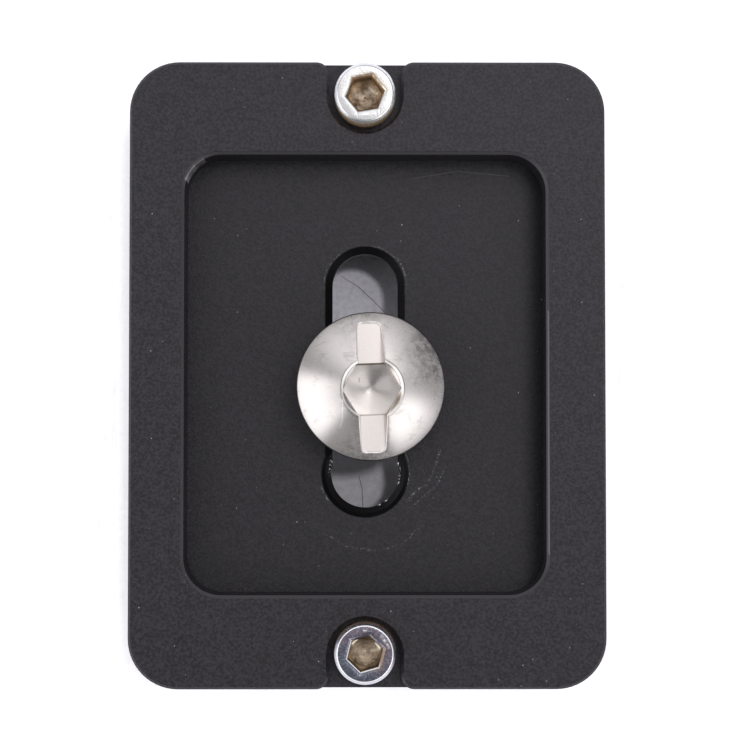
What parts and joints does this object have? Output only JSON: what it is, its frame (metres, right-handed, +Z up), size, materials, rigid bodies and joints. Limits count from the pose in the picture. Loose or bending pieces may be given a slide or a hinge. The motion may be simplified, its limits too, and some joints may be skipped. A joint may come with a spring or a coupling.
{
  "type": "tripod quick release plate",
  "caption": "Rectangular dovetail plate with a pocketed underside, a captive camera screw that slides in a slot, safety screws at both ends and rubber grip strips.",
  "frame": {"origin": "centre of the plate's outline, on the ground under the rubber strips of the camera side", "axes": "+X across the dovetail, +Y along the dovetail away from the keyhole end, +Z up, out of the plate's underside"},
  "size_m": [0.038, 0.05, 0.0143],
  "materials": {
    "black_anodised": "fine matte black anodising with light scuffs in the pocket",
    "satin_stainless": "satin stainless steel with fine scratches",
    "nickel_plate": "bright nickel plate, brown with tarnish in the socket",
    "grip_rubber": "matte black rubber"
  },
  "bodies": {
    "plate": {"plate_body": "black_anodised", "safety_screw_front": "nickel_plate", "safety_screw_rear": "nickel_plate", "grip_strip_left": "grip_rubber", "grip_strip_right": "grip_rubber"},
    "screw": {"camera_screw": "satin_stainless"}
  },
  "joints": [
    {"name": "screw_slide", "type": "slide", "parent": "plate", "child": "screw", "axis": [0, 1, 0], "range_m": [-0.0073, 0.0087]}
  ]
}
